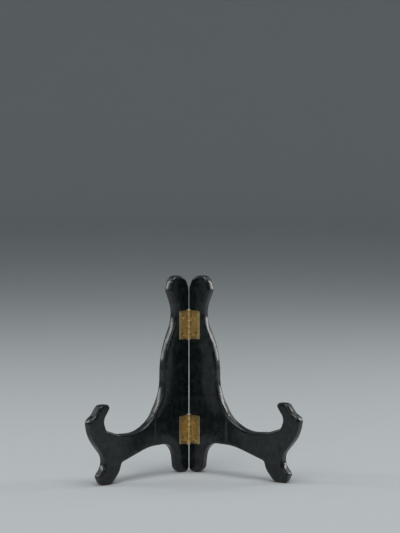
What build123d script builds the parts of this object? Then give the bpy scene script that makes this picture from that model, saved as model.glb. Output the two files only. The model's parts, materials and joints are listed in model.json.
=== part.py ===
"""Folding plate display stand: two carved wooden side frames on two small brass butt hinges.

The floor is Z = 0 and the plate faces -Y.  Every piece is modelled with the hinge axis on the
Z axis, and the whole stand is then moved so that the middle of its footprint is the origin.
Each side frame is a flat board.  On a board, u runs forward from the hinge axis, z runs up
and v runs outward across the thickness, from the upright plane that holds the hinge axis.
"""
from copy import copy
from math import cos, radians, sin, tan
import os

from build123d import *

# ---- side frames ----
opening_angle = 100      # between the inner faces of the two side frames, degrees
board_thickness = 8.0
fold_gap = 0.15          # hinge axis to the inner face, across the board
rear_gap = 0.15          # hinge axis to the rear edge, along the board
edge_round = 2.0         # on the long edges
rear_round = 1.4         # on the outer rear edge

stand_height = 152.0
frame_reach = 101.2      # hinge axis to the corner point of the belly
leg_height = 60.2        # floor to the top of the hook
rear_foot_width = 11.2
arch_height = 23.8       # floor to the crown of the arch under the rail
seat_height = 35.2       # floor to the bottom of the slot for the plate
upright_width = 24.8     # above the rail
neck_width = 10.6        # of the upright, under its nose
nose_width = 18.8
shortest_run = 0.5       # straight stretch left between two arcs of the outline

# ---- mortise and tenon between foot rail and upright ----
shoulder_reach = 36.0    # hinge axis to the shoulder of the foot rail
tenon_length = 12.0
tenon_height = 12.0
tenon_thickness = 3.0
tenon_middle = 33.0      # floor to the middle of the tenon
tenon_fit = 0.05         # round the tenon
tenon_end_gap = 0.4
peg_diameter = 2.4
peg_spacing = 5.6
peg_fit = 0.02

# ---- hinges ----
hinge_heights = {"lower": 33.0, "upper": 114.0}
hinge_length = 22.0
leaf_width = 10.0        # hinge axis to the free edge of the leaf
leaf_thickness = 0.9
leaf_corner = 1.0
leaf_fit = 0.05          # round the leaf in its recess
knuckle_count = 5
knuckle_gap = 0.3
barrel_diameter = 3.6
barrel_clearance = 0.3   # round the barrel
pin_diameter = 1.8
pin_clearance = 0.04     # radial running clearance in the knuckles
pin_head_diameter = 2.8
pin_head_height = 0.6
pin_head_crown = 0.7     # rounded share of the height of a pin head

# ---- screws ----
screw_reach = 6.2        # hinge axis to the screws
screw_spacing = 13.0
screw_length = 6.0
screw_diameter = 1.9
screw_point = 1.6        # length of the tapered point
screw_fit = 0.02
screw_head_diameter = 3.6
slot_width = 0.5
slot_depth = 0.4
slot_turns = {"lower": (20, 75), "upper": (-35, 50)}

half_angle = radians(opening_angle / 2)
along = Vector(-sin(half_angle), -cos(half_angle), 0)
outward = Vector(-cos(half_angle), sin(half_angle), 0)
left_board = Plane(origin=(0, 0, 0), x_dir=along, z_dir=outward)
inner_face = left_board.offset(fold_gap)
board_middle = left_board.offset(fold_gap + board_thickness / 2)
barrel_relief = barrel_diameter / 2 + barrel_clearance
bore_diameter = pin_diameter + 2 * pin_clearance
peg_reach = shoulder_reach - tenon_length / 2
screw_head_height = (screw_head_diameter - screw_diameter) / 2
knuckle_length = (hinge_length - (knuckle_count - 1) * knuckle_gap) / knuckle_count
parts = {}


def level(height):
    """Horizontal plane at a height: x along the left board, y across it towards the inside."""
    return Plane(origin=(0, 0, height), x_dir=along, z_dir=(0, 0, 1))


def mirror_to_right(part):
    with BuildPart() as right:
        mirror(part, about=Plane.YZ)
    return right.part


def hinge_leaf(height, own_knuckles):
    """Leaf in the inner face of the left board, with its knuckles round the hinge axis."""
    bottom = height - hinge_length / 2
    with BuildPart() as leaf:
        with BuildSketch(inner_face) as leaf_sketch:
            with Locations((0, height)):
                Rectangle(leaf_width, hinge_length, align=(Align.MIN, Align.CENTER))
            fillet(leaf_sketch.vertices().group_by(Axis.X)[-1], radius=leaf_corner)
        extrude(amount=leaf_thickness)
        for knuckle in range(knuckle_count):
            start = bottom + knuckle * (knuckle_length + knuckle_gap)
            if knuckle in own_knuckles:
                with BuildSketch(level(start)):
                    Circle(barrel_diameter / 2)
                extrude(amount=knuckle_length)
            else:
                with BuildSketch(level(start - knuckle_gap)):
                    Circle(barrel_relief)
                extrude(amount=knuckle_length + 2 * knuckle_gap, mode=Mode.SUBTRACT)
        with BuildSketch(level(bottom)):
            Circle(bore_diameter / 2)
        extrude(amount=hinge_length, mode=Mode.SUBTRACT)
        for hole in (-1, 1):
            head_face = screw_seat(height + hole * screw_spacing / 2)
            with Locations(Plane(origin=head_face, z_dir=-outward)):
                CounterSinkHole(
                    radius=screw_diameter / 2 + screw_fit,
                    counter_sink_radius=screw_head_diameter / 2 + screw_fit,
                    depth=screw_length,
                    counter_sink_angle=90,
                )
    return leaf.part


def screw_seat(height):
    """Centre of a screw's head, flush with the inner face of the left board."""
    return along * screw_reach + outward * fold_gap + Vector(0, 0, height)


def wood_screw(height, slot_turn):
    seat = screw_seat(height)
    with BuildPart() as screw:
        with BuildSketch(Plane(origin=seat, x_dir=(0, 0, 1), z_dir=along)):
            with BuildLine():
                Polyline(
                    (0, 0),
                    (screw_head_diameter / 2, 0),
                    (screw_diameter / 2, screw_head_height),
                    (screw_diameter / 2, screw_length - screw_point),
                    (0, screw_length),
                    close=True,
                )
            make_face()
        revolve(axis=Axis(origin=seat, direction=outward))
        with BuildSketch(inner_face):
            with Locations(Location((screw_reach, height), slot_turn)):
                Rectangle(2 * screw_head_diameter, slot_width)
        extrude(amount=slot_depth, mode=Mode.SUBTRACT)
    return screw.part


def hinge_pin(height):
    """Pin with a low head at each end, resting on the outer knuckles."""
    with BuildPart() as pin:
        with BuildSketch(level(height)):
            Circle(pin_diameter / 2)
        extrude(amount=hinge_length / 2, both=True)
        for end in (-1, 1):
            with BuildSketch(level(height + end * hinge_length / 2)):
                Circle(pin_head_diameter / 2)
            extrude(amount=end * pin_head_height)
        crowns = pin.edges().filter_by(GeomType.CIRCLE).group_by(Axis.Z)
        fillet(crowns[0] + crowns[-1], radius=pin_head_crown * pin_head_height)
    return pin.part


def fitted_radii(corners):
    """The radius at each corner, smaller only where its arc would use up a run to the next one."""
    points = [Vector(u, z) for u, z, _ in corners]
    runs = [end - start for start, end in zip(points, points[1:] + points[:1])]
    reaches = [
        radius * tan(radians(runs[i - 1].get_angle(runs[i]) / 2))
        for i, (_, _, radius) in enumerate(corners)
    ]
    shares = [
        (run.length - shortest_run) / (start + end)
        for run, start, end in zip(runs, reaches, reaches[1:] + reaches[:1])
    ]
    return [
        radius * min(1, shares[i - 1], shares[i]) for i, (_, _, radius) in enumerate(corners)
    ]


# One outline for a whole side frame, as corner points (u, z) and the radius at each.  Its rear
# edge stands one edge rounding behind its final place, and is planed back after the rounding,
# which leaves the inner rear edge crisp where the two frames meet.
blank_rear = rear_gap - edge_round
outline = [
    (blank_rear, 0, 5.4),                                     # rear foot
    (rear_foot_width, 0, 6.6),
    (rear_foot_width + 2.8, arch_height, 13),                 # arch under the rail
    (shoulder_reach + 4, arch_height, 52),
    (frame_reach - 32.8, arch_height - 8.9, 3),
    (frame_reach - 30.6, 8.2, 12),                            # back of the front foot
    (frame_reach - 23.2, 0, 6.5),
    (frame_reach - 13.4, 0, 4.2),
    (frame_reach - 10.1, 6.8, 2.3),                           # toe
    (frame_reach - 19.2, 17.3, 10),                           # waist
    (frame_reach - 2.6, leg_height - 23.6, 30),               # belly
    (frame_reach - 0.6, leg_height - 10.6, 5),
    (frame_reach - 6.8, leg_height - 7.2, 8),
    (frame_reach - 12.2, leg_height, 5.4),                    # hook
    (frame_reach - 23.4, leg_height, 2.6),
    (frame_reach - 14.6, leg_height - 11.8, 7),
    (frame_reach - 17.6, leg_height - 19.3, 3.5),             # slot for the rim of the plate
    (frame_reach - 30.0, seat_height + 1.4, 16),
    (upright_width + 27.2, seat_height, 30),
    (upright_width + 12.2, seat_height + 9, 26),
    (upright_width, seat_height + 29, 36),                    # front of the upright
    (upright_width + 0.4, stand_height - 60, 70),
    (neck_width, stand_height - 30, 24),
    (nose_width, stand_height - 11.4, 5.6),                   # nose
    (nose_width - 2.8, stand_height, 7.4),
    (3.2, stand_height, 9),
    (blank_rear, stand_height - 12, 14),
]

with BuildPart() as blank:
    with BuildSketch(inner_face):
        with BuildLine():
            FilletPolyline(
                *[(u, z) for u, z, _ in outline], radius=fitted_radii(outline), close=True
            )
        make_face()
    extrude(amount=board_thickness)
    board_faces = blank.faces().filter_by(Plane(origin=(0, 0, 0), z_dir=outward))
    fillet(board_faces.edges(), radius=edge_round)
    with BuildSketch(left_board):
        with Locations((blank_rear, stand_height / 2)):
            Rectangle(2 * edge_round, 2 * stand_height)
    extrude(amount=2 * board_thickness, mode=Mode.SUBTRACT)
    with BuildSketch(level(0)):
        with Locations((rear_gap, -fold_gap - board_thickness)):
            Rectangle(2 * rear_round, 2 * rear_round)
        with Locations((rear_gap + rear_round, -fold_gap - board_thickness + rear_round)):
            Circle(rear_round, mode=Mode.SUBTRACT)
    extrude(amount=stand_height, mode=Mode.SUBTRACT)

# ---- left upright and left foot rail, sawn from the blank at the shoulder ----
shoulder = Plane(origin=along * shoulder_reach, z_dir=along)

with BuildPart() as left_upright:
    add(blank.part)
    split(bisect_by=shoulder, keep=Keep.BOTTOM)
    with BuildSketch(board_middle):
        with Locations((shoulder_reach, tenon_middle)):
            Rectangle(
                2 * (tenon_length + tenon_end_gap),
                tenon_height + 2 * tenon_fit,
            )
    extrude(amount=tenon_thickness / 2 + tenon_fit, both=True, mode=Mode.SUBTRACT)
    with BuildSketch(board_middle):
        with Locations((peg_reach, tenon_middle)), GridLocations(0, peg_spacing, 1, 2):
            Circle(peg_diameter / 2 + peg_fit)
    extrude(amount=board_thickness, both=True, mode=Mode.SUBTRACT)
    for height in hinge_heights.values():
        with BuildSketch(inner_face):
            with Locations((0, height)):
                Rectangle(
                    leaf_width + leaf_fit,
                    hinge_length + 2 * leaf_fit,
                    align=(Align.MIN, Align.CENTER),
                )
        extrude(amount=leaf_thickness, mode=Mode.SUBTRACT)
        relief_length = hinge_length + 2 * (pin_head_height + barrel_clearance)
        with BuildSketch(level(height)):
            Circle(barrel_relief)
        extrude(amount=relief_length / 2, both=True, mode=Mode.SUBTRACT)
        with BuildSketch(inner_face):
            with Locations((screw_reach, height)), GridLocations(0, screw_spacing, 1, 2):
                Circle(screw_diameter / 2 + screw_fit)
        extrude(amount=screw_length + screw_fit, mode=Mode.SUBTRACT)
parts["left_upright"] = left_upright.part

with BuildPart() as left_foot_rail:
    add(blank.part)
    split(bisect_by=shoulder, keep=Keep.TOP)
    with BuildSketch(board_middle):
        with Locations((shoulder_reach, tenon_middle)):
            Rectangle(2 * tenon_length, tenon_height)
    extrude(amount=tenon_thickness / 2, both=True)
    with BuildSketch(board_middle):
        with Locations((peg_reach, tenon_middle)), GridLocations(0, peg_spacing, 1, 2):
            Circle(peg_diameter / 2 + peg_fit)
    extrude(amount=board_thickness, both=True, mode=Mode.SUBTRACT)
parts["left_foot_rail"] = left_foot_rail.part

for name, side in (("lower", -1), ("upper", 1)):
    with BuildPart() as peg:
        with BuildSketch(board_middle):
            with Locations((peg_reach, tenon_middle + side * peg_spacing / 2)):
                Circle(peg_diameter / 2)
        extrude(amount=board_thickness / 2, both=True)
    parts[f"left_{name}_peg"] = peg.part

# ---- hinges: the left leaf holds the outer and middle knuckles, the right leaf the others ----
for place, height in hinge_heights.items():
    for side, first in (("left", 0), ("right", 1)):
        leaf = hinge_leaf(height, range(first, knuckle_count, 2))
        parts[f"{place}_hinge_{side}_leaf"] = leaf if side == "left" else mirror_to_right(leaf)
    parts[f"{place}_hinge_pin"] = hinge_pin(height)
    for end, turn in zip(("lower", "upper"), slot_turns[place]):
        offset = screw_spacing / 2 * (1 if end == "upper" else -1)
        screw = wood_screw(height + offset, turn)
        parts[f"{place}_hinge_left_{end}_screw"] = screw
        parts[f"{place}_hinge_right_{end}_screw"] = mirror_to_right(screw)

# ---- right side frame: the mirror image of the left one ----
for name in ("upright", "foot_rail", "lower_peg", "upper_peg"):
    parts[f"right_{name}"] = mirror_to_right(parts[f"left_{name}"])

# ---- the origin goes to the middle of the footprint ----
box = Compound(children=[copy(part) for part in parts.values()]).bounding_box()
setback = -(box.min.Y + box.max.Y) / 2
print(f"hinge axis at X = 0, Y = {setback:.3f}")

os.makedirs("parts", exist_ok=True)
for name, part in parts.items():
    placed = part.moved(Location((0, setback, 0)))
    placed.label = name
    export_step(placed, f"parts/{name}.step")
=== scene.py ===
import bpy, bmesh, json, math
from mathutils import Matrix, Vector


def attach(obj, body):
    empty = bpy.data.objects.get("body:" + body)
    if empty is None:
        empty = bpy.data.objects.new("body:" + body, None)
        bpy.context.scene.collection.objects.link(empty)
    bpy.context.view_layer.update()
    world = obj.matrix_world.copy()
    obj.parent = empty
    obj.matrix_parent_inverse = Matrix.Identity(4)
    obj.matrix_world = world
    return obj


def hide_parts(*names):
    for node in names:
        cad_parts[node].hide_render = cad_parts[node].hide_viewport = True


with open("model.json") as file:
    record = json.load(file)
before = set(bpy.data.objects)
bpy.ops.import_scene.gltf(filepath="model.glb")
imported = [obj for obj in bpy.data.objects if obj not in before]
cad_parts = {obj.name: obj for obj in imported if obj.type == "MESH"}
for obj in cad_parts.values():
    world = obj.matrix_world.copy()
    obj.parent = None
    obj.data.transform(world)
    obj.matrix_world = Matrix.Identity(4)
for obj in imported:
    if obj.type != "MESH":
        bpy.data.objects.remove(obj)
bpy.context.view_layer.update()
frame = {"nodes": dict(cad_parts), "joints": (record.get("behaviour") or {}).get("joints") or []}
mm = 0.001
over = 1.0                # how far a cutting block or bar runs past the piece, in millimetres
ends = {"lower": -1, "upper": 1}
hingeLine = Vector(frame["joints"][0]["pos_m"])      # floor point of the hinge axis
print("stage: frame loaded,", len(frame["nodes"]), "nodes")


# small helpers for selecting, cutting and adding

def deselectAll():
    if bpy.context.object and bpy.context.object.mode != "OBJECT":
        bpy.ops.object.mode_set(mode="OBJECT")
    bpy.ops.object.select_all(action="DESELECT")


def pick(piece):
    deselectAll()
    piece.select_set(True)
    bpy.context.view_layer.objects.active = piece


def named(piece, name):
    piece.name = name
    piece.data.name = name
    return piece


def edit(piece):
    pick(piece)
    bpy.ops.object.mode_set(mode="EDIT")
    bpy.ops.mesh.select_all(action="DESELECT")


def objectMode():
    bpy.ops.object.mode_set(mode="OBJECT")


def applyPlace(piece):
    pick(piece)
    bpy.ops.object.transform_apply(location=True, rotation=True, scale=True)


def same(a, b):      # two places in millimetres that count as one
    return abs(a - b) < 0.02


def faces(part):      # true of the part of a normal that lies along the axis its face looks along
    return abs(part) > 0.99


def selectEdges(test):      # in edit mode: selects every edge that passes, by its two end points
    bpy.ops.mesh.select_mode(type="EDGE")
    mesh = bpy.context.object.data
    work = bmesh.from_edit_mesh(mesh)
    for edge in work.edges:
        edge.select_set(test(edge.verts[0].co / mm, edge.verts[1].co / mm))
    work.select_flush_mode()
    bmesh.update_edit_mesh(mesh)


def selectFaces(test):      # in edit mode: selects every face that passes, by its middle and normal
    bpy.ops.mesh.select_mode(type="FACE")
    mesh = bpy.context.object.data
    work = bmesh.from_edit_mesh(mesh)
    for face in work.faces:
        face.select_set(test(face.calc_center_median() / mm, face.normal))
    bmesh.update_edit_mesh(mesh)


def bevelSelected(width, segments):
    bpy.ops.mesh.bevel(offset=width * mm, segments=segments, profile=0.5, clamp_overlap=False)


def turnOutwards(inside=False):      # in edit mode: makes all normals agree
    bpy.ops.mesh.select_all(action="SELECT")
    bpy.ops.mesh.normals_make_consistent(inside=inside)
    objectMode()


def useModifier(piece, kind, **settings):
    pick(piece)
    modifier = piece.modifiers.new(kind.title(), kind)
    for key, value in settings.items():
        setattr(modifier, key, value)
    bpy.ops.object.modifier_apply(modifier=modifier.name)


def combine(piece, tool, operation):      # the tool's solid is used up
    useModifier(piece, "BOOLEAN", operation=operation, solver="EXACT", object=tool)
    bpy.data.objects.remove(tool)


def cutAway(piece, tool):
    combine(piece, tool, "DIFFERENCE")


def weld(piece, tool):
    combine(piece, tool, "UNION")


def addBlock(start, end):      # between two opposite corners, in millimetres
    low, high = Vector(map(min, start, end)), Vector(map(max, start, end))
    deselectAll()
    bpy.ops.mesh.primitive_cube_add(size=1, location=(low + high) / 2 * mm, scale=(high - low) * mm)
    applyPlace(bpy.context.object)
    return bpy.context.object


def addRod(radius, start, end, sides):      # a round bar between two points, in millimetres
    start, end = Vector(start), Vector(end)
    deselectAll()
    bpy.ops.mesh.primitive_cylinder_add(
        vertices=sides, radius=radius * mm, depth=(end - start).length * mm,
        location=(start + end) / 2 * mm, rotation=(end - start).to_track_quat("Z", "Y").to_euler(),
    )
    applyPlace(bpy.context.object)
    return bpy.context.object


def addTurned(profile, sides):      # a turned piece on Z, from (radius, height) rings, bottom first
    radius, height = profile[0]
    deselectAll()
    bpy.ops.mesh.primitive_circle_add(
        vertices=sides, radius=radius * mm, fill_type="NGON", location=(0, 0, height * mm))
    turned = bpy.context.object
    applyPlace(turned)
    edit(turned)
    bpy.ops.mesh.select_all(action="SELECT")
    for nextRadius, nextHeight in profile[1:]:
        rise = (nextHeight - height) * mm
        bpy.ops.mesh.extrude_region_move(TRANSFORM_OT_translate={"value": (0, 0, rise)})
        if nextRadius != radius:
            bpy.ops.transform.resize(value=(nextRadius / radius,) * 2 + (1,),
                                     center_override=(0, 0, nextHeight * mm))
        radius, height = nextRadius, nextHeight
    turnOutwards()
    return turned


def quarterRound(radius, height, width, drop, steps):      # rings of a rounded rim, going up
    quarters = [math.radians(90 * k / steps) for k in range(steps + 1)]
    return [(radius - width * (1 - math.cos(angle)), height - drop * (1 - math.sin(angle)))
            for angle in quarters]


def bothEnds(top, middle):      # a turned profile whose lower end repeats the upper one upside down
    return [(radius, middle - height) for radius, height in reversed(top)] + [
        (radius, middle + height) for radius, height in top]


def copyOf(piece, name):
    twin = piece.copy()
    twin.data = piece.data.copy()
    bpy.context.collection.objects.link(twin)
    return named(twin, name)


def smooth(piece, angle):
    pick(piece)
    bpy.ops.object.shade_smooth_by_angle(angle=math.radians(angle))


# Board coordinates: x runs forward from the hinge axis, z up, y across the board.  The outward
# side of the left board is -y and of the right board +y, and each board is turned into place.
sideFrame = {
    "opening": 100,          # degrees between the inner faces
    "thickness": 8.0,
    "height": 152.0,
    "foldGap": 0.15,         # hinge axis to the inner face
    "rearGap": 0.15,         # hinge axis to the rear edge
    "edgeRound": 2.0,
    "edgeSteps": 7,
    "rearRound": 1.4,
    "crisp": 0.07,           # softening of sawn edges
    "shoulder": 36.0,        # where upright and foot rail meet
    "corners": [             # forward, up, radius
        (-1.85, 0, 5.4), (11.2, 0, 6.6), (14.0, 23.8, 13), (40.0, 23.8, 52),       # rear foot, arch
        (68.4, 14.9, 3), (70.6, 8.2, 12), (78.0, 0, 6.5), (87.8, 0, 4.2),          # front foot
        (91.1, 6.8, 2.3), (82.0, 17.3, 10), (98.6, 36.6, 30), (100.6, 49.6, 5),    # toe, waist, belly
        (94.4, 53.0, 8), (89.0, 60.2, 5.4), (77.8, 60.2, 2.6), (86.6, 48.4, 7),    # hook
        (83.6, 40.9, 3.5), (71.2, 36.6, 16), (52.0, 35.2, 30), (37.0, 44.2, 26),   # slot for the plate
        (24.8, 64.2, 36), (25.2, 92.0, 70), (10.6, 122.0, 24), (18.8, 140.6, 5.6), # upright
        (16.0, 152.0, 7.4), (3.2, 152.0, 9), (-1.85, 140.0, 14),                   # nose and rear edge
    ],
    "arcStep": 5,            # degrees of turn for each outline edge
    "slice": 3.5,            # spacing of the cuts that let the faces undulate
    "slicedX": (1.5, 100),   # from the first cut, up to this far
    "slicedZ": (2.5, 151),
    "waviness": 0.16,        # knife-work left under the lacquer
    "waveLength": 11,
}
turns = {      # of the boards about the hinge axis, to each side of straight ahead
    "left": math.radians(270 - sideFrame["opening"] / 2),
    "right": math.radians(-90 + sideFrame["opening"] / 2),
}
outwards = {"left": -1, "right": 1}


def across(side):      # which way is outward, and where the inner and outer faces are
    outward = outwards[side]
    inner = outward * sideFrame["foldGap"]
    return outward, inner, inner + outward * sideFrame["thickness"]


def roundedOutline(corners, step):      # corner points joined by runs and tangent arcs
    points = []
    for i, (x, z, radius) in enumerate(corners):
        here = Vector((x, z))
        before = (Vector(corners[i - 1][:2]) - here).normalized()
        after = (Vector(corners[(i + 1) % len(corners)][:2]) - here).normalized()
        turn = math.pi - before.angle(after)
        start = here + before * radius * math.tan(turn / 2)
        centre = here + (before + after).normalized() * radius / math.cos(turn / 2)
        spoke = start - centre
        sense = 1 if before.cross(after) < 0 else -1
        parts = max(2, round(math.degrees(turn) / step))
        for k in range(parts + 1):
            points.append(centre + Matrix.Rotation(sense * turn * k / parts, 2) @ spoke)
    return points


def sliced(piece, axis, span):      # straight cuts across the whole piece
    normal = Vector((axis == "x", 0, axis == "z"))
    place, stop = span
    while place < stop:
        edit(piece)
        bpy.ops.mesh.select_all(action="SELECT")
        bpy.ops.mesh.bisect(plane_co=normal * place * mm, plane_no=normal)
        place += sideFrame["slice"]
    objectMode()


def keepArris(piece):      # 1 along the middle of a rounded edge, 0 on faces, for wear
    layers = piece.data.attributes
    layers.new("arris", "FLOAT", "POINT")
    for vertex, arris in zip(piece.data.vertices, layers["arris"].data):
        lean = min(1, abs(vertex.normal.y))
        arris.value = 2 * lean * math.sqrt(1 - lean * lean)


def makeBlank(side):      # the whole carved board, before it is sawn in two
    outward, inner, outer = across(side)
    outline = roundedOutline(sideFrame["corners"], sideFrame["arcStep"])
    deselectAll()
    bpy.ops.mesh.primitive_circle_add(vertices=len(outline), radius=mm, fill_type="NGON")
    blank = named(bpy.context.object, side + "Upright")
    for vertex, point in zip(blank.data.vertices, outline):
        vertex.co = Vector((point.x, inner, point.y)) * mm
    edit(blank)
    bpy.ops.mesh.select_all(action="SELECT")
    bpy.ops.mesh.extrude_region_move(TRANSFORM_OT_translate={"value": (0, (outer - inner) * mm, 0)})
    turnOutwards()
    edit(blank)
    selectEdges(lambda a, b: same(a.y, b.y))
    bevelSelected(sideFrame["edgeRound"], sideFrame["edgeSteps"])
    objectMode()
    sliced(blank, "x", sideFrame["slicedX"])
    sliced(blank, "z", sideFrame["slicedZ"])
    waves = bpy.data.textures.new("knifeWork", "CLOUDS")
    waves.noise_scale = sideFrame["waveLength"] * mm
    waves.noise_depth = 1
    useModifier(blank, "DISPLACE", texture=waves, texture_coords="LOCAL", mid_level=1.0,
                strength=sideFrame["waviness"] * mm)      # inwards only
    keepArris(blank)
    return blank


def trim(piece, reach, keepFront):      # sawn square at a distance from the hinge, the cut closed
    edit(piece)
    bpy.ops.mesh.select_all(action="SELECT")
    bpy.ops.mesh.bisect(plane_co=(reach * mm, 0, 0), plane_no=(1, 0, 0), use_fill=True,
                        clear_inner=keepFront, clear_outer=not keepFront)
    objectMode()


def softenCut(piece, reach):      # takes the sharpness off the rim of a sawn end
    edit(piece)
    selectFaces(lambda middle, normal: same(middle.x, reach) and faces(normal.x))
    bpy.ops.mesh.region_to_loop()
    bevelSelected(sideFrame["crisp"], 2)
    objectMode()


def sawBoard(side):      # the blank becomes the upright, and its front part the foot rail
    upright = makeBlank(side)
    trim(upright, sideFrame["rearGap"], True)
    rail = copyOf(upright, side + "FootRail")
    trim(rail, sideFrame["shoulder"], True)
    trim(upright, sideFrame["shoulder"], False)
    softenCut(rail, sideFrame["shoulder"])
    softenCut(upright, sideFrame["shoulder"])
    return upright, rail


def roundRearEdge(upright, side):      # the outer one; the inner one stays crisp
    outward, _, outer = across(side)
    rear, radius, top = sideFrame["rearGap"], sideFrame["rearRound"], sideFrame["height"]
    middle = (rear + radius, outer - outward * radius)
    corner = addBlock((rear - over, middle[1], -over), (middle[0], outer + outward * over, top + over))
    cutAway(corner, addRod(radius, (*middle, -2 * over), (*middle, top + 2 * over), 48))
    cutAway(upright, corner)


joint = {      # mortise and tenon between rail and upright, pinned through
    "length": 12.0,
    "height": 12.0,
    "thickness": 3.0,
    "middle": 33.0,          # above the floor
    "root": 2.0,             # sunk in the rail
    "tenonRound": 0.4,
    "fit": 0.05,
    "endGap": 0.4,
    "pegDiameter": 2.4,
    "pegSpacing": 5.6,
    "pegFit": 0.02,
    "pegRim": (0.12, 0.10, 3),      # width, drop and steps of the rounding
    "pegCrown": 0.08,               # how far the middle of a peg's end stands up
    "crownRings": ((0.6, 0.6), (0.25, 0.85), (1 / 60, 0.9)),      # shares of radius and crown
    "pegSides": 32,
}
pegReach = sideFrame["shoulder"] - joint["length"] / 2


def pegHeight(end):
    return joint["middle"] + ends[end] * joint["pegSpacing"] / 2


def cutJoint(upright, rail, side):
    outward, inner, outer = across(side)
    middle, half, fit = (inner + outer) / 2, joint["thickness"] / 2, joint["fit"]
    low, high = joint["middle"] - joint["height"] / 2, joint["middle"] + joint["height"] / 2
    shoulder = sideFrame["shoulder"]
    tip = shoulder - joint["length"]
    cutAway(upright, addBlock((tip - joint["endGap"], middle - half - fit, low - fit),
                              (shoulder + over, middle + half + fit, high + fit)))
    tenon = addBlock((tip, middle - half, low), (shoulder + joint["root"], middle + half, high))
    edit(tenon)
    selectEdges(lambda a, b: max(a.x, b.x) < shoulder)
    bevelSelected(joint["tenonRound"], 2)
    objectMode()
    weld(rail, tenon)
    radius = joint["pegDiameter"] / 2 + joint["pegFit"]
    for end in ends:
        for piece in (upright, rail):
            cutAway(piece, addRod(radius, (pegReach, inner - outward * over, pegHeight(end)),
                                  (pegReach, outer + outward * over, pegHeight(end)), joint["pegSides"]))


def makePeg(side, end):      # runs right through the board, its ends slightly crowned
    _, inner, outer = across(side)
    radius, half = joint["pegDiameter"] / 2, sideFrame["thickness"] / 2
    top = quarterRound(radius, half, *joint["pegRim"])
    top += [(radius * share, half + joint["pegCrown"] * rise) for share, rise in joint["crownRings"]]
    peg = named(addTurned(bothEnds(top, 0), joint["pegSides"]), side + end.title() + "Peg")
    peg.rotation_euler = (math.radians(90), 0, 0)
    peg.location = Vector((pegReach, (inner + outer) / 2, pegHeight(end))) * mm
    applyPlace(peg)
    return peg


hinge = {
    "heights": {"lower": 33.0, "upper": 114.0},
    "length": 22.0,
    "leafWidth": 10.0,
    "leafThickness": 0.9,
    "leafCorner": 1.0,
    "leafFit": 0.05,
    "knuckles": 5,
    "ownKnuckles": {"left": (0, 2, 4), "right": (1, 3)},
    "knuckleGap": 0.3,
    "knuckleRound": 0.14,
    "barrel": 3.6,
    "clearance": 0.3,        # round the barrel
    "pin": 1.8,
    "bore": 1.88,
    "headDiameter": 2.8,
    "headHeight": 0.6,
    "headRound": (0.75, 0.7, 6),      # width, share of the height, steps
    "headFlat": (0.25, 0.002),        # radius of the flat left on the head, and its drop
    "edge": 0.1,             # rounding of the stamped edges
    "holeRim": (0.06, 0.05),          # width and depth of the broken edge of a screw hole
}
screw = {
    "reach": 6.2,            # from the hinge axis
    "spacing": 13.0,
    "length": 6.0,
    "diameter": 1.9,
    "point": 1.6,            # length of the tapered end
    "pointRing": (0.62, 0.45),        # shares of the diameter and of the point, half way down it
    "tip": 0.04,             # radius left at the very point
    "fit": 0.02,
    "head": 3.6,
    "headCentre": 0.05,      # radius of the innermost ring
    "headFlat": 0.55,        # share of the head
    "headEdge": ((0.16, 0.01), (0.03, 0.06), (0, 0.13)),      # in from the rim, below the face
    "slotWidth": 0.5,
    "slotDepth": 0.4,
    "slotRound": 0.08,
    "slotTurns": {"lower": {"lower": 20, "upper": 75}, "upper": {"lower": -35, "upper": 50}},
}
barrelRelief = hinge["barrel"] / 2 + hinge["clearance"]


def screwHeight(place, end):
    return hinge["heights"][place] + ends[end] * screw["spacing"] / 2


def cutHingeSeat(upright, side, place):      # recess for the leaf, groove for the barrel, screw holes
    outward, inner, _ = across(side)
    height = hinge["heights"][place]
    reach = hinge["length"] / 2 + hinge["leafFit"]
    cutAway(upright, addBlock((-3 * over, -outward * over, height - reach),
                              (hinge["leafWidth"] + hinge["leafFit"],
                               inner + outward * hinge["leafThickness"], height + reach)))
    reach = hinge["length"] / 2 + hinge["headHeight"] + hinge["clearance"]
    cutAway(upright, addRod(barrelRelief, (0, 0, height - reach), (0, 0, height + reach), 64))
    bottom = inner + outward * (screw["length"] + screw["fit"])
    for end in ends:
        at = screwHeight(place, end)
        cutAway(upright, addRod(screw["diameter"] / 2 + screw["fit"], (screw["reach"], 0, at),
                                (screw["reach"], bottom, at), 32))


def aim(piece, side, place, end):      # turns a piece made along Z so that it runs in at a screw's place
    outward, inner, _ = across(side)
    piece.rotation_euler = (math.radians(-90 * outward), 0, 0)
    piece.location = Vector((screw["reach"], inner, screwHeight(place, end))) * mm
    applyPlace(piece)


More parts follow.
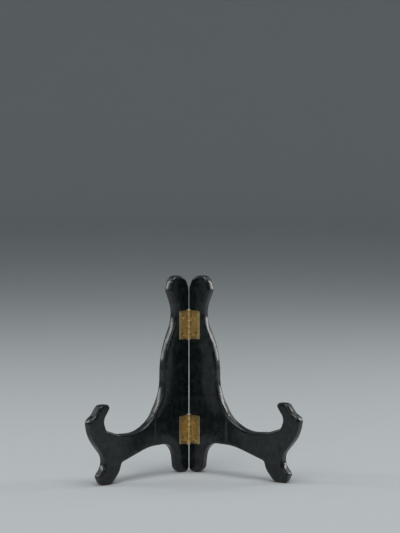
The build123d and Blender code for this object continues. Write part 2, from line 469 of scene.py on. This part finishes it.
def makeLeaf(side, place):      # stamped plate with its own knuckles rolled round the hinge axis
    outward, inner, _ = across(side)
    bottom = hinge["heights"][place] - hinge["length"] / 2
    leaf = addBlock((0, inner, bottom), (hinge["leafWidth"], inner + outward * hinge["leafThickness"],
                                         bottom + hinge["length"]))
    named(leaf, place + "Hinge" + side.title() + "Leaf")
    edit(leaf)
    selectEdges(lambda a, b: same(a.x, hinge["leafWidth"]) and same(b.x, a.x) and not same(a.y, b.y))
    bevelSelected(hinge["leafCorner"], 8)
    selectFaces(lambda middle, normal: faces(normal.y))
    bpy.ops.mesh.region_to_loop()
    bevelSelected(hinge["edge"], 2)
    objectMode()

    gap, rounding = hinge["knuckleGap"], hinge["knuckleRound"]
    knuckle = (hinge["length"] - (hinge["knuckles"] - 1) * gap) / hinge["knuckles"]
    for k in range(hinge["knuckles"]):
        start = bottom + k * (knuckle + gap)
        if k in hinge["ownKnuckles"][side]:
            rim = quarterRound(hinge["barrel"] / 2, knuckle / 2, rounding, rounding, 3)
            weld(leaf, addTurned(bothEnds(rim, start + knuckle / 2), 64))
        else:
            cutAway(leaf, addRod(barrelRelief, (0, 0, start - gap), (0, 0, start + knuckle + gap), 64))
    cutAway(leaf, addRod(hinge["bore"] / 2, (0, 0, bottom - over),
                         (0, 0, bottom + hinge["length"] + over), 48))

    width, depth = hinge["holeRim"]
    head, shank = screw["head"] / 2 + screw["fit"], screw["diameter"] / 2 + screw["fit"]
    for end in ends:
        hole = addTurned([(head + width, -over), (head + width, 0), (head, depth),
                          (shank, head - shank + depth), (shank, 3 * over)], 48)
        aim(hole, side, place, end)
        cutAway(leaf, hole)
    return leaf


def makeScrew(side, place, end):      # countersunk, with a slot across its head
    head, shank, length = screw["head"] / 2, screw["diameter"] / 2, screw["length"]
    rings = [(screw["headCentre"], 0), (head * screw["headFlat"], 0)]
    rings += [(head - inset, drop) for inset, drop in screw["headEdge"]]
    rings += [(shank, head - shank), (shank, length - screw["point"])]
    thinner, left = screw["pointRing"]
    rings += [(shank * thinner, length - screw["point"] * left), (screw["tip"], length)]
    part = named(addTurned(rings, 48), place + "Hinge" + side.title() + end.title() + "Screw")
    half = screw["slotWidth"] / 2
    slot = addBlock((-head - over, -half, -over), (head + over, half, screw["slotDepth"]))
    edit(slot)
    selectEdges(lambda a, b: min(a.z, b.z) > 0 and not same(a.x, b.x))
    bevelSelected(screw["slotRound"], 2)
    objectMode()
    slot.rotation_euler = (0, 0, math.radians(screw["slotTurns"][place][end]))
    applyPlace(slot)
    cutAway(part, slot)
    aim(part, side, place, end)
    return part


def makePin(place):      # domed heads rest on the outer knuckles
    head, half, top = hinge["headDiameter"] / 2, hinge["length"] / 2, hinge["headHeight"]
    width, share, steps = hinge["headRound"]
    flat, drop = hinge["headFlat"]
    rings = [(hinge["pin"] / 2, half), (head, half)]
    rings += quarterRound(head, half + top, width, share * top, steps)
    rings += [(flat, half + top - drop)]
    return named(addTurned(bothEnds(rings, hinge["heights"][place]), 48), place + "HingePin")


# by the end of a node's name: its slot, and the angle past which an edge stays crisp
kinds = {
    "upright": ("black_lacquer", 32),
    "foot_rail": ("black_lacquer", 32),
    "peg": ("peg_wood", 40),
    "leaf": ("hinge_brass", 30),
    "pin": ("pin_brass", 30),
    "screw": ("screw_brass", 30),
}
made = []      # piece, CAD node, body, kind


def seat(piece, side, node):      # shades a finished piece and turns it from its board into its place
    kind = next(kind for kind in kinds if node.endswith(kind))
    smooth(piece, kinds[kind][1])
    layers = piece.data.attributes
    layers.new("boardPlace", "FLOAT_VECTOR", "POINT")      # board coordinates stay, for grain
    for vertex, place in zip(piece.data.vertices, layers["boardPlace"].data):
        place.vector = vertex.co / mm
    pick(piece)
    piece.rotation_euler = (0, 0, turns[side])
    piece.location = hingeLine
    applyPlace(piece)
    made.append((piece, node, side + "_frame", kind))


for side in turns:
    upright, rail = sawBoard(side)
    roundRearEdge(upright, side)
    cutJoint(upright, rail, side)
    for place in hinge["heights"]:
        cutHingeSeat(upright, side, place)
    seat(upright, side, side + "_upright")
    seat(rail, side, side + "_foot_rail")
    for end in ends:
        seat(makePeg(side, end), side, f"{side}_{end}_peg")
    print("stage:", side, "frame,", len(upright.data.polygons), "+", len(rail.data.polygons), "faces")
    for place in hinge["heights"]:
        seat(makeLeaf(side, place), side, f"{place}_hinge_{side}_leaf")
        for end in ends:
            seat(makeScrew(side, place, end), side, f"{place}_hinge_{side}_{end}_screw")
for place in hinge["heights"]:
    seat(makePin(place), "left", place + "_hinge_pin")
print("stage: hinges")


class Flow:      # a shader socket that takes part in sums
    def __init__(self, paint, socket):
        self.paint, self.socket = paint, socket

    def join(self, operation, other, swapped=False, clamp=False):
        first, second = (other, self) if swapped else (self, other)
        return self.paint.node("ShaderNodeMath", {"operation": operation, "use_clamp": clamp},
                               {0: first, 1: second})

    def __add__(self, other):
        return self.join("ADD", other)

    def __radd__(self, other):
        return self.join("ADD", other, True)

    def __sub__(self, other):
        return self.join("SUBTRACT", other)

    def __rsub__(self, other):
        return self.join("SUBTRACT", other, True)

    def __mul__(self, other):
        return self.join("MULTIPLY", other)

    def __rmul__(self, other):
        return self.join("MULTIPLY", other, True)

    def __abs__(self):
        return self.join("ABSOLUTE", 0.0)

    def limited(self):      # kept between 0 and 1
        return self.join("ADD", 0.0, clamp=True)


class Paint:      # one material, with one method that adds any node
    def __init__(self, name):
        self.material = bpy.data.materials.new(name)
        self.material.use_nodes = True
        self.tree = self.material.node_tree
        self.tree.nodes.clear()

    def node(self, kind, settings, inputs, output=0):
        added = self.tree.nodes.new(kind)
        for key, value in settings.items():
            setattr(added, key, value)
        for key, value in inputs.items():
            socket = added.inputs[key]
            if isinstance(value, Flow):
                self.tree.links.new(value.socket, socket)
            elif socket.type == "RGBA":
                socket.default_value = (*value, 1)
            else:
                socket.default_value = value
        return Flow(self, added.outputs[output]) if added.outputs else None

    def noise(self, place, scale, detail, roughness=0.55, distortion=0.0):
        return self.node("ShaderNodeTexNoise", {}, {"Vector": place, "Scale": scale, "Detail": detail,
                                                    "Roughness": roughness, "Distortion": distortion})

    def stretched(self, place, scale):      # squeezes a pattern along chosen axes
        return self.node("ShaderNodeMapping", {"vector_type": "POINT"}, {"Vector": place, "Scale": scale})

    def between(self, value, span):      # 0 below the span, 1 above it, smooth between
        low, high = span
        return self.node("ShaderNodeMapRange", {"interpolation_type": "SMOOTHSTEP"},
                         {"Value": value, "From Min": low, "From Max": high})

    def blend(self, share, first, second):      # colours
        return self.node("ShaderNodeMix", {"data_type": "RGBA"}, {0: share, 6: first, 7: second}, 2)

    def bump(self, height, distance, strength, **under):
        return self.node("ShaderNodeBump", {}, {"Height": height, "Distance": distance * mm,
                                                "Strength": strength, **under})

    def boardPlace(self):      # millimetres along, across and up the board
        return self.node("ShaderNodeAttribute", {"attribute_name": "boardPlace"}, {}, "Vector")

    def arris(self):
        return self.node("ShaderNodeAttribute", {"attribute_name": "arris"}, {}, "Fac")

    def part(self, place, axis):
        return self.node("ShaderNodeSeparateXYZ", {}, {0: place}, axis)

    def surface(self, **values):
        inputs = {key.replace("_", " "): value for key, value in values.items()}
        shader = self.node("ShaderNodeBsdfPrincipled", {}, inputs)
        self.node("ShaderNodeOutputMaterial", {}, {"Surface": shader})
        return self.material


lacquer = {      # black lacquer, brushed over carved hardwood; lengths in millimetres
    "black": (0.0024, 0.0050, 0.0056),
    "thin": (0.0150, 0.0205, 0.0210),       # where the coat has worn matt
    "worn": (0.075, 0.036, 0.018),          # stained wood at rubbed edges
    "thinSpan": (0.42, 0.68),
    "grain": {"upright": (1.1, 1.1, 0.045), "rail": (0.045, 1.1, 1.1), "pegEnd": (1.6, 0.4, 1.6)},
    "grainDepth": 0.028,
    "grainBump": 0.55,
    "poreScale": 2.6,                       # pores for each streak of grain
    "poreSpan": (0.58, 0.72),
    "brushScale": 0.14,
    "brushDepth": 0.4,
    "brushBump": 0.35,
    "smearScale": 0.22,
    "speckScale": 1.7,
    "footSpan": (0.5, 5.0),                 # rubbed where it stands, fading upwards
    "rubbing": {"arris": 0.5, "foot": 0.25, "smears": 0.5, "specks": 0.35},
    "wornSpan": (0.99, 1.12),
    "wornShare": 0.85,
    "roughness": {"all": 0.20, "smears": 0.20, "pores": 0.06, "wear": 0.22},
    "specular": 0.22,
    "coat": {"all": 0.58, "wear": 0.5, "brushed": 0.24},
    "coatSpan": (0.44, 0.70),
    "coatRoughness": 0.12,
    "glassiness": 1.5,                      # refraction of lacquer and coat
}


def lacquerPaint(name, kind):
    paint = Paint(name)
    place = paint.boardPlace()
    grain = lacquer["grain"][kind]
    poreGrain = tuple(lacquer["poreScale"] * scale for scale in grain)
    fibres = paint.noise(paint.stretched(place, grain), 1.0, 4, 0.6, 0.3)
    pores = paint.between(paint.noise(paint.stretched(place, poreGrain), 1.0, 2), lacquer["poreSpan"])
    brushed = paint.noise(place, lacquer["brushScale"], 2, 0.5)
    smears = paint.noise(place, lacquer["smearScale"], 4, 0.62, 0.6)
    specks = paint.noise(place, lacquer["speckScale"], 2, 0.7)
    foot = 1 - paint.between(paint.part(place, "Z"), lacquer["footSpan"])
    share = lacquer["rubbing"]
    rubbed = paint.arris() * share["arris"] + foot * share["foot"]
    rubbed = rubbed + smears * share["smears"] + specks * share["specks"]
    wear = paint.between(rubbed, lacquer["wornSpan"])
    colour = paint.blend(paint.between(smears, lacquer["thinSpan"]), lacquer["black"], lacquer["thin"])
    colour = paint.blend(wear * lacquer["wornShare"], colour, lacquer["worn"])
    share = lacquer["roughness"]
    rough = share["all"] + smears * share["smears"] + pores * share["pores"] + wear * share["wear"]
    normal = paint.bump(fibres * 0.5 - pores * 0.2, lacquer["grainDepth"], lacquer["grainBump"])
    normal = paint.bump(brushed, lacquer["brushDepth"], lacquer["brushBump"], Normal=normal)
    share = lacquer["coat"]
    patchy = paint.between(brushed, lacquer["coatSpan"])
    coat = share["all"] - wear * share["wear"] - patchy * share["brushed"]
    return paint.surface(
        Base_Color=colour, Roughness=rough.limited(), Metallic=0.0, IOR=lacquer["glassiness"], Normal=normal,
        Specular_IOR_Level=lacquer["specular"], Coat_Weight=coat.limited(),
        Coat_Roughness=lacquer["coatRoughness"], Coat_IOR=lacquer["glassiness"],
    )


brass = {      # satin brass gone brown in patches
    "clean": (0.74, 0.54, 0.24),
    "aged": (0.50, 0.34, 0.14),
    # colour the screws take deep in their slots
    "deepSlot": (0.035, 0.024, 0.014),
    "patchScale": 0.30,
    "patchSpan": (0.45, 0.95),              # moved down by a piece's age
    "brushing": (0.25, 1.0, 5.5),           # fine scratches along the leaf
    "spotScale": 2.4,
    "spotSpan": (0.62, 0.72),
    "spotShare": 0.18,
    "roughness": {"tarnish": 0.16, "scratches": 0.14, "deepSlot": 0.35},
    "dulling": {"tarnish": 0.12, "deepSlot": 0.5},
    "relief": 0.012,
    "deepSlotSpan": (0.12, 0.34),             # depths below the face of the leaf over which the screws' slots turn darker
    "deepSlotShare": 0.85,
}


def brassPaint(name, shine, age, darkSlots=False):
    paint = Paint(name)
    place = paint.boardPlace()
    patches = paint.noise(place, brass["patchScale"], 5, 0.55, 0.2)
    scratches = paint.noise(paint.stretched(place, brass["brushing"]), 1.0, 3, 0.7)
    spots = paint.between(paint.noise(place, brass["spotScale"], 2), brass["spotSpan"])
    aged = paint.between(patches, [limit - age for limit in brass["patchSpan"]])
    tarnish = (aged + spots * brass["spotShare"]).limited()
    colour = paint.blend(tarnish, brass["clean"], brass["aged"])
    share = brass["roughness"]
    rough = (shine + tarnish * share["tarnish"] + scratches * share["scratches"]).limited()
    metal = 1 - tarnish * brass["dulling"]["tarnish"]
    # the screws turn darker, rougher and less metallic the deeper a point lies in their slots
    if darkSlots:
        low, high = brass["deepSlotSpan"]
        deepInSlot = paint.between(abs(paint.part(place, "Y")),
                             (sideFrame["foldGap"] + low, sideFrame["foldGap"] + high))
        colour = paint.blend(deepInSlot * brass["deepSlotShare"], colour, brass["deepSlot"])
        rough = (rough + deepInSlot * share["deepSlot"]).limited()
        metal = metal * (1 - deepInSlot * brass["dulling"]["deepSlot"])
    normal = paint.bump(scratches + spots * 0.3, brass["relief"], 0.5)
    return paint.surface(Base_Color=colour, Roughness=rough, Metallic=metal, Normal=normal)


finishes = {
    "upright": lacquerPaint("lacquerUpright", "upright"),
    "foot_rail": lacquerPaint("lacquerRail", "rail"),
    "peg": lacquerPaint("lacquerPegEnd", "pegEnd"),
    "leaf": brassPaint("brassLeaf", shine=0.24, age=0.12),
    "pin": brassPaint("brassPin", shine=0.20, age=0.08),
    "screw": brassPaint("brassScrew", shine=0.22, age=0.12, darkSlots=True),
}
for piece, node, body, kind in made:
    piece.data.materials.clear()
    piece.data.materials.append(finishes[kind])
    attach(piece, body)
    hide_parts(node)
print("stage: materials")


studio = {      # in metres
    "floorRadius": 3.2,
    "floorSides": 96,
    "coveRadius": 1.2,
    "coveSteps": 12,
    "wallHeight": 3.4,
    "floorTone": (0.575, 0.605, 0.615),
    "floorRoughness": 0.65,
    "world": (0.80, 0.86, 0.92),
    "worldStrength": 0.22,
    "exposure": 0.0,
    "aim": (0, 0, 0.06),      # where the lights point
    "lights": {               # direction, distance, width, height, watts
        "softboxLeft": ((-0.89, 0.20, 0.36), 1.2, 0.15, 0.62, 2.0),
        "softboxRight": ((0.90, 0.31, 0.31), 1.2, 0.15, 0.62, 2.2),
        "cardLeft": ((-0.66, 0.38, 0.62), 1.3, 0.70, 0.60, 1.0),
        "cardRight": ((0.68, 0.50, 0.55), 1.3, 0.70, 0.60, 1.1),
        "softboxTop": ((0.05, -0.20, 1.0), 1.3, 0.9, 0.9, 9.5),
        "softboxFront": ((-0.5, -1.0, 0.75), 2.0, 0.9, 0.9, 5.0),
    },
}


def makeFloor():      # pale floor that sweeps up into a round wall
    place, cove, steps = studio["floorRadius"], studio["coveRadius"], studio["coveSteps"]
    angles = [math.radians(90 * k / steps) for k in range(1, steps + 1)]
    rings = [(place + cove * math.sin(angle), cove * (1 - math.cos(angle))) for angle in angles]
    rings.append((place + cove, studio["wallHeight"]))
    deselectAll()
    bpy.ops.mesh.primitive_circle_add(vertices=studio["floorSides"], radius=place, fill_type="NGON")
    floor = named(bpy.context.object, "studioFloor")
    edit(floor)
    bpy.ops.mesh.select_all(action="SELECT")
    bpy.ops.mesh.select_mode(type="EDGE")
    bpy.ops.mesh.region_to_loop()
    height = 0.0
    for nextPlace, nextHeight in rings:
        bpy.ops.mesh.extrude_edges_move(TRANSFORM_OT_translate={"value": (0, 0, nextHeight - height)})
        if nextPlace != place:
            bpy.ops.transform.resize(value=(nextPlace / place,) * 2 + (1,),
                                     center_override=(0, 0, nextHeight))
        place, height = nextPlace, nextHeight
    turnOutwards(inside=True)
    smooth(floor, 30)
    floor.data.materials.append(Paint("studioPaper").surface(
        Base_Color=studio["floorTone"], Roughness=studio["floorRoughness"]))


def addSoftbox(name, direction, distance, width, height, power):
    bpy.ops.object.light_add(type="AREA")
    light = named(bpy.context.object, name)
    light.data.shape = "RECTANGLE"
    light.data.size, light.data.size_y = width, height
    light.data.energy = power
    away = Vector(direction).normalized() * distance
    light.location = Vector(studio["aim"]) + away
    light.rotation_euler = away.to_track_quat("Z", "Y").to_euler()


makeFloor()
deselectAll()
for name, settings in studio["lights"].items():
    addSoftbox(name, *settings)

world = bpy.data.worlds.new("studioWorld")
world.use_nodes = True
background = world.node_tree.nodes["Background"]
background.inputs["Color"].default_value = (*studio["world"], 1)
background.inputs["Strength"].default_value = studio["worldStrength"]
bpy.context.scene.world = world
bpy.context.scene.view_settings.view_transform = "Standard"
bpy.context.scene.view_settings.exposure = studio["exposure"]

view = {
    "location": (-0.10573, -1.54225, 0.28334),
    "pitch": -4.5335,        # degrees
    "yaw": -4.1586,
    "lens": 139.47,
    "sensor": 36,
    "clip": (0.01, 50),
}
bpy.ops.object.camera_add(location=view["location"],
                          rotation=(math.radians(90 + view["pitch"]), 0, math.radians(view["yaw"])))
camera = bpy.context.object
camera.data.lens = view["lens"]
camera.data.sensor_width = view["sensor"]
camera.data.clip_start, camera.data.clip_end = view["clip"]
bpy.context.scene.camera = camera
print("stage: studio")
